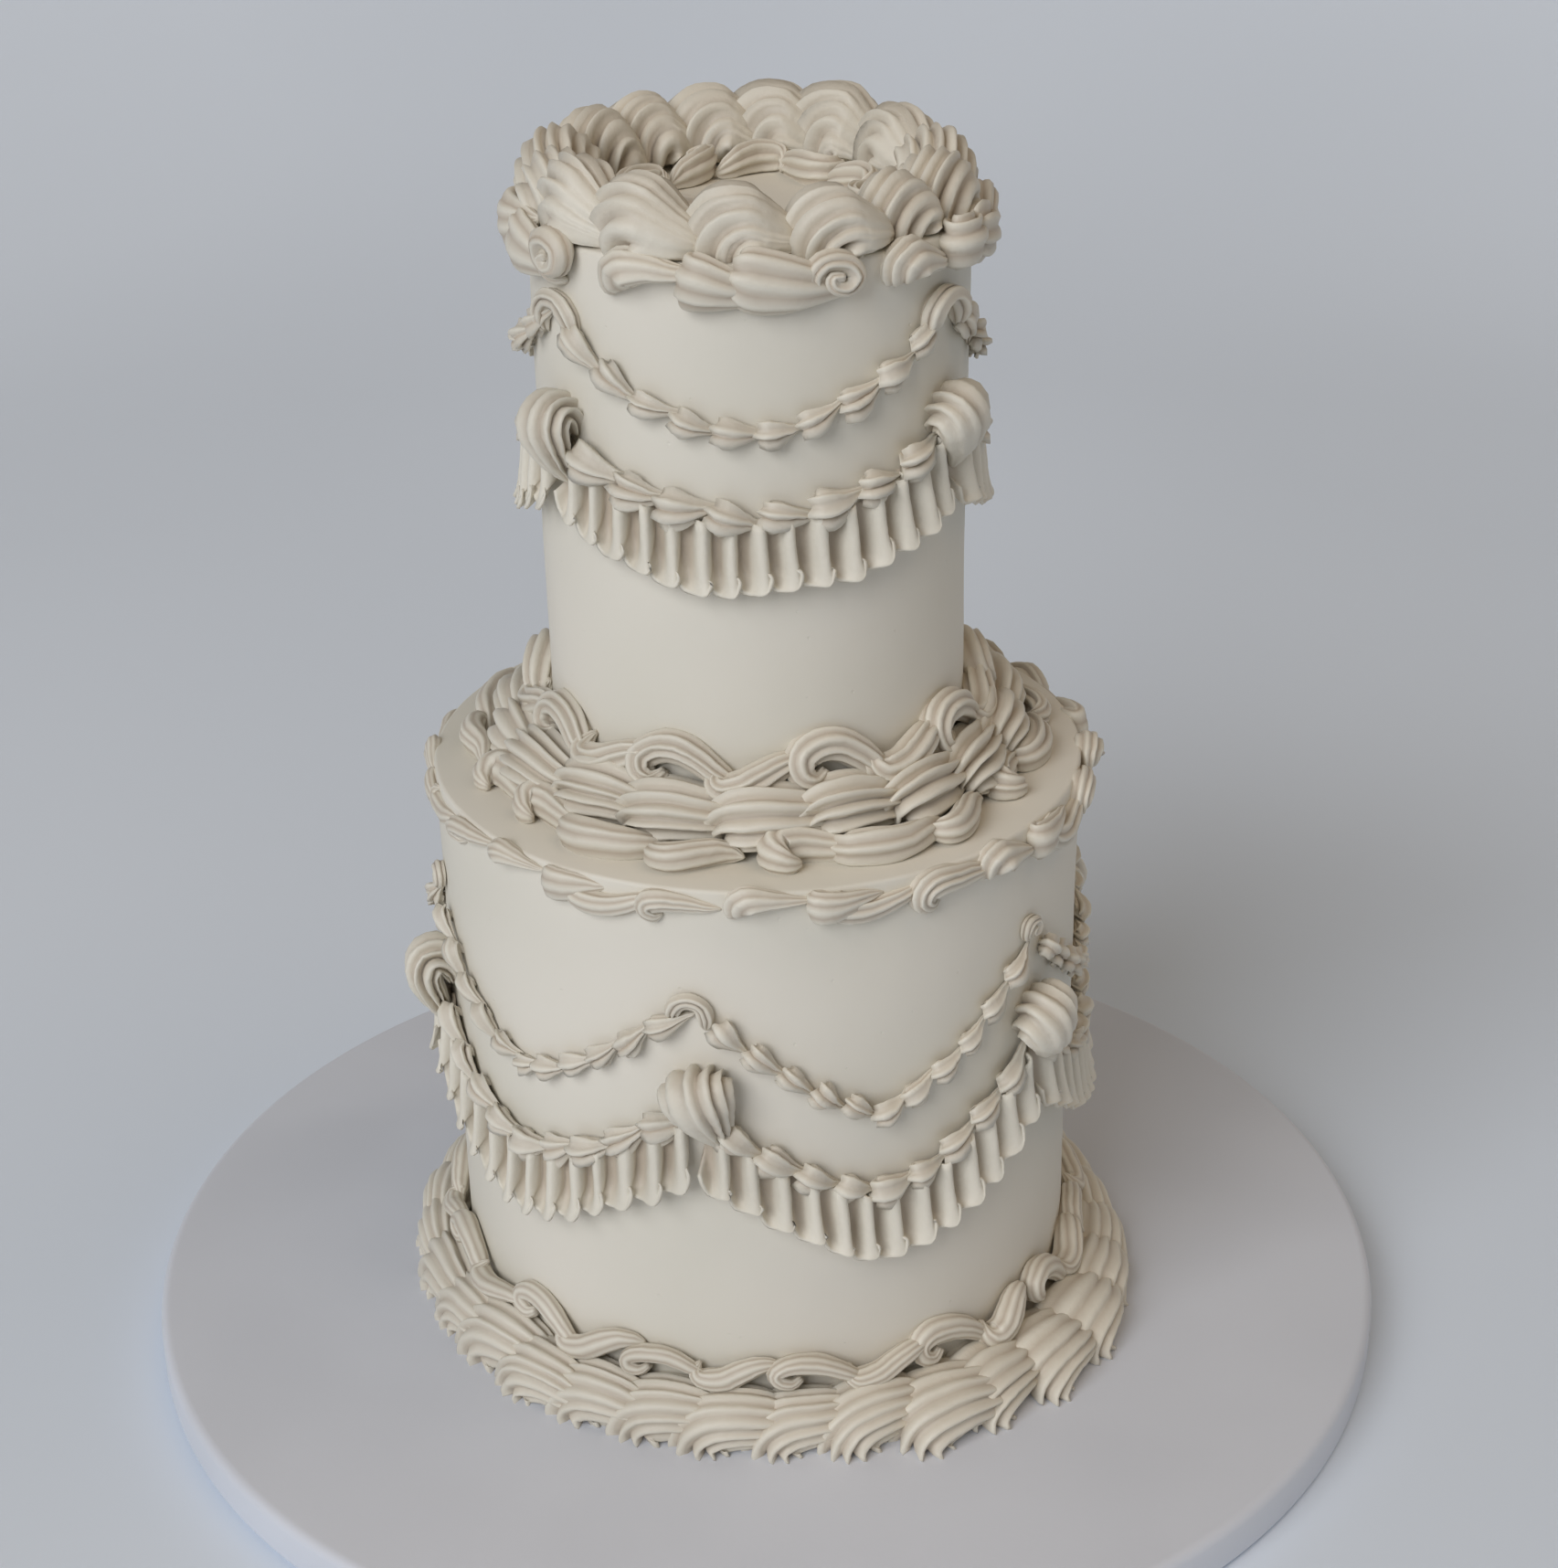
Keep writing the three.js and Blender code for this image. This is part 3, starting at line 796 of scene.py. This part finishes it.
def make_lower_base():
    """Border at the foot of the lower tier: shells on the board and curls on the wall over them."""
    def shell(k, angle, chance):
        reach = border_reach(angle)
        middle = LOWER_RADIUS + 0.4 * reach
        size = (math.radians(360 / BORDER_COUNT) * middle, 0.62 * reach, border_height(angle))
        bm = pipe(BOARD_SHELL, varied(chance, size, share=0.06), chance)
        lay(bm, ON_TOP, angle, middle, BOARD_TOP - 0.2, yaw=chance.uniform(-6, 6))
        return bm

    row("lower_base_shells", count=BORDER_COUNT, start=-14.6, stroke_for=shell)

    def curl(k, angle, chance):
        full = CURL_SIZE + CURL_SWING * math.sin(math.radians(angle))
        stroke = smeared(arch_or_cup(k)._replace(groove=CURL_GROOVE), angle)
        bm = pipe(stroke, varied(chance, (0.9, full, full + 0.08), share=0.16), chance)
        lay(bm, ON_WALL, angle, LOWER_RADIUS + 1.2, BOARD_TOP + border_height(angle) - 4,
            tilt=chance.uniform(12, 20), yaw=chance.uniform(-13, 10))
        return bm

    row("lower_base_curls", count=28, start=7.6, stroke_for=curl)


# ---------------------------------------------------------------- swags

# A tier's swags. `foot` is the level that their heights are over, `junctions` the angles where one
# ends and the next starts, and `off_level` how much higher each hangs at its lowest. Of a line of
# beads, `peak` and `low` are its heights, `curve` how sharply it rises to its ends, `clear` how
# many degrees it stops short of a junction, and `size` a bead's half width and height. `bow` is
# the size of the curl over a junction.
UPPER_SWAGS = {
    "tier": "upper", "radius": UPPER_RADIUS, "foot": LOWER_TOP,
    "junctions": (-56, 56, 180), "off_level": (0, -1, 1),
    "plain": {"beads": 10, "peak": 113, "low": 92, "curve": 1.8, "clear": 4.4, "size": (3.7, 5.2)},
    "shells": {"beads": 8, "peak": 87, "low": 74, "curve": 2, "clear": 6.5, "size": (4.4, 6.0)},
    "ruffle": {"pleats": 15, "clear": 2.4},
    "fan": (14.5, 7.6, 11.5), "fan_top": 92.5, "bow": 1.0,
}
LOWER_SWAGS = {
    "tier": "lower", "radius": LOWER_RADIUS, "foot": BOARD_TOP,
    "junctions": (-77, -11, 53, 110.5, 168, 225.5), "off_level": (-1, -4, 0, 1, -1, 1),
    "plain": {"beads": 11, "peak": 112, "low": 87, "curve": 1.35, "clear": 2.4, "size": (3.2, 4.4)},
    "shells": {"beads": 9, "peak": 86, "low": 66.5, "curve": 1.5, "clear": 3, "size": (4, 5.4)},
    "ruffle": {"pleats": 13, "clear": 1.2},
    "fan": (15, 8.0, 11.5), "fan_top": 95.5, "bow": 0.72,
}
# How far the garlands, fans and bows are sunk into the coat
SUNK = 0.3
# A garland bead's length next to the step from one to the next, so that each laps over the last
BEAD_LAP = 1.62


def droop(line, share, off):
    """Height of a swag's line at a share of the way along it, from -1 to 1."""
    low = line["low"] + off
    return low + (line["peak"] - low) * abs(share) ** line["curve"]


# The way that a fan's tail points: down and a little to the right
FAN_YAW = -75


def garland(swags, kind, number, start, end, off):
    """A string of small shells along a swag's line, each head over the tail before it."""
    line, radius = swags[kind], swags["radius"]
    chance = random.Random(f"{SEED} {swags['tier']} {kind} {number}")
    whole = empty_row()
    middle, half = (start + end) / 2, (end - start) / 2
    reach = half - line["clear"]
    wide, high = line["size"]
    for k in range(line["beads"]):
        share = ((k + 0.5) / line["beads"] * 2 - 1) * reach / half
        ahead = share + reach / half / line["beads"]
        rise = droop(line, ahead, off) - droop(line, share, off)
        run = math.radians((ahead - share) * half) * radius
        size = (BEAD_LAP * math.hypot(rise, run), wide, high)
        bm = pipe(BEAD, varied(chance, size, share=0.13), chance)
        slope = math.degrees(math.atan2(rise, run))
        lay(bm, ON_WALL, middle + share * half, radius - SUNK,
            swags["foot"] + droop(line, share, off), yaw=slope + chance.uniform(-14, 14))
        join(whole, bm)
    roughen(whole, "garland")
    name = f"{swags['tier']}_{'plain' if kind == 'plain' else 'shell'}_garland_{number}"
    finish_piece(name, whole, PIPED)


# The ruffle's mesh: steps across a pleat and down the skirt, and how they crowd towards the top
PLEAT_STEPS, SKIRT_STEPS, SKIRT_CROWD = 16, 12, 1.5
# Millimetres out in a hollow, on a fold at the top and on a fold at the hem, and how far a hollow
# and the whole hem curve out at the end, with how late they do so
HOLLOW_OUT, TOP_OUT, FOLD_OUT = 0.6, 4.0, 5.6
CUPPED, CUPPED_LATE, FLARE, FLARE_LATE = 3.2, 7, 0.9, 6
# Millimetres from the top to the hem, by how much that varies, how far the hem is drawn up between
# lobes, how far the top is tucked under the garland, how far it is sunk in, and the thickness
HEM_DOWN, HEM_VARIES, NOTCH, TUCKED, RUFFLE_SUNK, SHEET = 16.0, 0.9, 3.4, 1, 0.2, 0.8
# Where across a pleat its hem is lowest, and how sharply it is drawn up before and after that
LOWEST, NOTCH_BEFORE, NOTCH_AFTER = 0.52, 3.6, 4
# How much a fold's height and place vary, and how far its hem swings to and fro
FOLD_VARIES, PLEAT_SHIFT, HEM_SWING = 0.8, 0.12, 0.26
# Millimetres that a fold leans over at the top, how much more at the hem, and by how much it varies
LEAN_TOP, LEAN_HEM, LEAN_VARIES = 0.3, 0.9, 0.5
# How dark the painted shade at the bottom of a hollow is, as a share of a full groove's shade
HOLLOW_SHADE = 1.0
# One pleat seen from its end, as shares along and out: a hollow, a broad face and a steep edge
PLEAT = ((0.0, 0.0), (0.16, 0.01), (0.32, 0.07), (0.44, 0.38), (0.54, 0.80), (0.69, 1.0),
         (0.86, 0.92), (0.97, 0.48), (1.0, 0.0))


def hem_notch(place):
    """How far the hem is drawn up: not at all at the bottom of a lobe, fully at its edges."""
    if place < LOWEST:
        return (1 - place / LOWEST) ** NOTCH_BEFORE
    return min(1, (place - LOWEST) / (1 - LOWEST)) ** NOTCH_AFTER


def thicken(bm, thickness):
    """Gives an open sheet a back, so many millimetres behind its face."""
    bmesh.ops.recalc_face_normals(bm, faces=bm.faces)
    bm.normal_update()
    sign = 1 if sum(vert.normal.dot(vert.co * Vector((1, 1, 0))) for vert in bm.verts) > 0 else -1
    grown = bmesh.ops.extrude_face_region(bm, geom=bm.faces[:])["geom"]
    for vert in (part for part in grown if isinstance(part, bmesh.types.BMVert)):
        vert.co -= vert.normal * thickness * sign * MM


def ruffle(swags, number, start, end, off):
    """A petal-tip ribbon in pleats: round folds that lean over the hollows between them, with shade
    painted into the hollows.
    """
    skirt, line = swags["ruffle"], swags["shells"]
    chance = random.Random(f"{SEED} {swags['tier']} ruffle {number}")
    pleats, radius = skirt["pleats"], swags["radius"]
    bm = bmesh.new()
    painted_shade = bm.verts.layers.float.new("groove")
    columns = pleats * PLEAT_STEPS
    bmesh.ops.create_grid(bm, x_segments=columns, y_segments=SKIRT_STEPS, size=0.5)
    middle, half = (start + end) / 2, (end - start) / 2
    reach = half - skirt["clear"]
    lobes = [[chance.uniform(-1, 1) for _ in range(3)] for _ in range(pleats + 1)]
    profile = smooth_through(PLEAT, PLEAT_STEPS + 1)
    for vert in bm.verts:
        depth = 1 - (0.5 + vert.co.y) ** SKIRT_CROWD
        k, step = divmod(round((vert.co.x + 0.5) * columns), PLEAT_STEPS)
        if k == pleats:
            k, step = k - 1, PLEAT_STEPS
        place = step / PLEAT_STEPS
        own = [a * (1 - place) + b * place for a, b in zip(lobes[k], lobes[k + 1])]
        across, fold = profile[step]
        down = HEM_DOWN + HEM_VARIES * own[0] - NOTCH * hem_notch(across)
        hollow = HOLLOW_OUT + CUPPED * depth ** CUPPED_LATE
        crest = TOP_OUT + (FOLD_OUT - TOP_OUT + FOLD_VARIES * own[1]) * depth
        out = hollow + fold * (crest - hollow) + FLARE * depth ** FLARE_LATE
        lean = (LEAN_TOP + (LEAN_HEM + LEAN_VARIES * own[2]) * depth) * fold
        share = ((k + across + PLEAT_SHIFT * own[1]) / pleats * 2 - 1) * reach / half
        turn = math.radians(middle + share * half) + lean / radius
        spot = radius - RUFFLE_SUNK + out
        level = share + HEM_SWING * math.sin(math.tau * across) * depth / pleats * reach / half
        height = swags["foot"] + droop(line, level, off) - TUCKED - (down - TUCKED) * depth
        vert.co = Vector((spot * math.sin(turn), -spot * math.cos(turn), height)) * MM
        # Painted shade in the hollows, fading out at the hem so that the rim stays light
        vert[painted_shade] = HOLLOW_SHADE * max(0, 1 - 2 * fold) * (1 - depth ** CUPPED_LATE)
    thicken(bm, SHEET)
    roughen(bm, "ruffle")
    finish_piece(f"{swags['tier']}_ruffle_{number}", bm, PIPED)


def fan(swags, number, angle):
    """A shell that stands over a junction, with its tail at the garlands' ends."""
    chance = random.Random(f"{SEED} {swags['tier']} fan {number}")
    bm = pipe(FAN_SHELL, varied(chance, swags["fan"], share=0.06), chance)
    lay(bm, ON_WALL, angle, swags["radius"] - SUNK, swags["foot"] + swags["fan_top"],
        yaw=FAN_YAW + chance.uniform(-8, 8))
    roughen(bm, "fan")
    finish_piece(f"{swags['tier']}_fan_shell_{number}", bm, PIPED)


def peak(swags, number, angle):
    """The bow where two plain garlands meet."""
    chance = random.Random(f"{SEED} {swags['tier']} peak {number}")
    stroke, scale = (SPIRAL, 0.8) if swags["tier"] == "lower" and number % 2 else (BOW, 1)
    bm = pipe(stroke, varied(chance, (swags["bow"] * scale,) * 3, share=0.12), chance)
    lay(bm, ON_WALL, angle, swags["radius"] - SUNK, swags["foot"] + swags["plain"]["peak"],
        yaw=chance.uniform(-18, 18))
    roughen(bm, "bow")
    finish_piece(f"{swags['tier']}_garland_peak_{number}", bm, PIPED)


def make_swags(swags):
    """All of a tier's swags, each with the fan and the bow at its left end."""
    junctions = swags["junctions"]
    for k, start in enumerate(junctions):
        end = junctions[k + 1] if k + 1 < len(junctions) else junctions[0] + 360
        number, off = k + 1, swags["off_level"][k]
        garland(swags, "plain", number, start, end, off)
        garland(swags, "shells", number, start, end, off)
        ruffle(swags, number, start, end, off)
        fan(swags, number, start)
        peak(swags, number, start)


# ---------------------------------------------------------------- camera, floor and light

# Degrees that the camera looks down and is rolled, its sensor and lens in millimetres, and the
# middle of its view and its distance from it in millimetres
LOOK_DOWN, ROLL = 26.11, -0.74
SENSOR, LENS = 36, 65.455
AIM, DISTANCE = (4.78, 0, 140.38), 669.13


def make_camera():
    """A long lens, looking down on the cake a little from the front."""
    down, roll = math.radians(LOOK_DOWN), math.radians(ROLL)
    right = Vector((1, 0, 0))
    up = Vector((0, math.sin(down), math.cos(down)))
    back = Vector((0, -math.cos(down), math.sin(down)))
    side = right * math.cos(roll) + up * math.sin(roll)
    top = up * math.cos(roll) - right * math.sin(roll)
    data = bpy.data.cameras.new("camera")
    data.sensor_fit, data.sensor_width, data.lens = "HORIZONTAL", SENSOR, LENS
    data.clip_start = 0.01
    camera = bpy.data.objects.new("camera", data)
    place = Vector(AIM) * MM + back * DISTANCE * MM
    turn = Matrix((side, top, back)).transposed().to_4x4()
    camera.matrix_world = Matrix.Translation(place) @ turn
    bpy.context.scene.collection.objects.link(camera)
    bpy.context.scene.camera = camera


# The table top in metres: it is level this far out, and then curves up like a shallow bowl, on
# this radius and for this much further, in so many steps
LEVEL_OUT, CURVE_RADIUS, CURVE_OUT, CURVE_STEPS = 0.75, 1.3, 1.06, 16
SWEEP_SIDES = 96
# The height in metres that the lights aim at, and how strong the light of the room itself is
LIGHT_AIM, ROOM_LIGHT = 0.15, 0.2


def make_sweep():
    """A plain pale table top that curves up all round, to be the background of every view."""
    bm = bmesh.new()
    bmesh.ops.create_circle(bm, cap_ends=True, segments=SWEEP_SIDES, radius=LEVEL_OUT)
    edges = [edge for edge in bm.edges if edge.is_boundary]
    for k in range(1, CURVE_STEPS + 1):
        run = CURVE_OUT * k / CURVE_STEPS
        rise = CURVE_RADIUS - math.sqrt(CURVE_RADIUS ** 2 - run ** 2)
        grown = bmesh.ops.extrude_edge_only(bm, edges=edges)["geom"]
        edges = [part for part in grown if isinstance(part, bmesh.types.BMEdge)]
        for vert in (part for part in grown if isinstance(part, bmesh.types.BMVert)):
            around = vert.co.xy.normalized() * (LEVEL_OUT + run)
            vert.co = Vector((around.x, around.y, rise))
    bmesh.ops.recalc_face_normals(bm, faces=bm.faces)
    for face in bm.faces:
        face.smooth = True
    mesh = bpy.data.meshes.new("sweep")
    bm.to_mesh(mesh)
    bm.free()
    material, tree = new_material("matt_painted_sweep")
    places = add_node(tree, "ShaderNodeTexCoord")
    colour = mixed_colour(tree, places, 400, 0, "#DFE8F3", "#E3ECF7")
    finish_material(tree, {"Roughness": 0.7}, {"Base Color": (colour, "Color")})
    mesh.materials.append(material)
    sweep = bpy.data.objects.new("sweep", mesh)
    bpy.context.scene.collection.objects.link(sweep)


def soft_light(name, angle, rise, distance, size, power, colour):
    """A square softbox aimed at the middle of the cake."""
    data = bpy.data.lights.new(name, "AREA")
    data.shape, data.size, data.energy = "SQUARE", size, power
    data.color = linear(colour)[:3]
    light = bpy.data.objects.new(name, data)
    turn, lift = math.radians(angle), math.radians(rise)
    level = math.cos(lift)
    way = Vector((math.sin(turn) * level, -math.cos(turn) * level, math.sin(lift)))
    light.location = Vector((0, 0, LIGHT_AIM)) + way * distance
    light.rotation_euler = way.to_track_quat("Z", "Y").to_euler()
    bpy.context.scene.collection.objects.link(light)


def make_lights():
    """A cool softbox at the left, a weak warm one high at the right, and the light of the room."""
    soft_light("window_side", angle=-35, rise=32, distance=6, size=4, power=242, colour="#F8FAFF")
    soft_light("ceiling", angle=76, rise=66, distance=6, size=4, power=56, colour="#FFE2C0")
    world = bpy.data.worlds.new("soft_room")
    world.use_nodes = True
    room = world.node_tree.nodes["Background"]
    room.inputs["Color"].default_value = linear("#E9E5DE")
    room.inputs["Strength"].default_value = ROOM_LIGHT
    bpy.context.scene.world = world
    bpy.context.scene.view_settings.view_transform = "Standard"


make_camera()
make_sweep()
make_lights()
make_board()
make_tier("lower_coat", "lower_tier", LOWER_RADIUS, LOWER_FOOT, LOWER_TOP, LOWER_NARROWING)
make_tier("upper_coat", "upper_tier", UPPER_RADIUS, UPPER_FOOT, UPPER_TOP, UPPER_NARROWING)
make_crown()
make_side_scrolls()
make_inner_scrolls()
make_upper_base()
make_rim_edging()
make_lower_base()
make_swags(UPPER_SWAGS)
make_swags(LOWER_SWAGS)
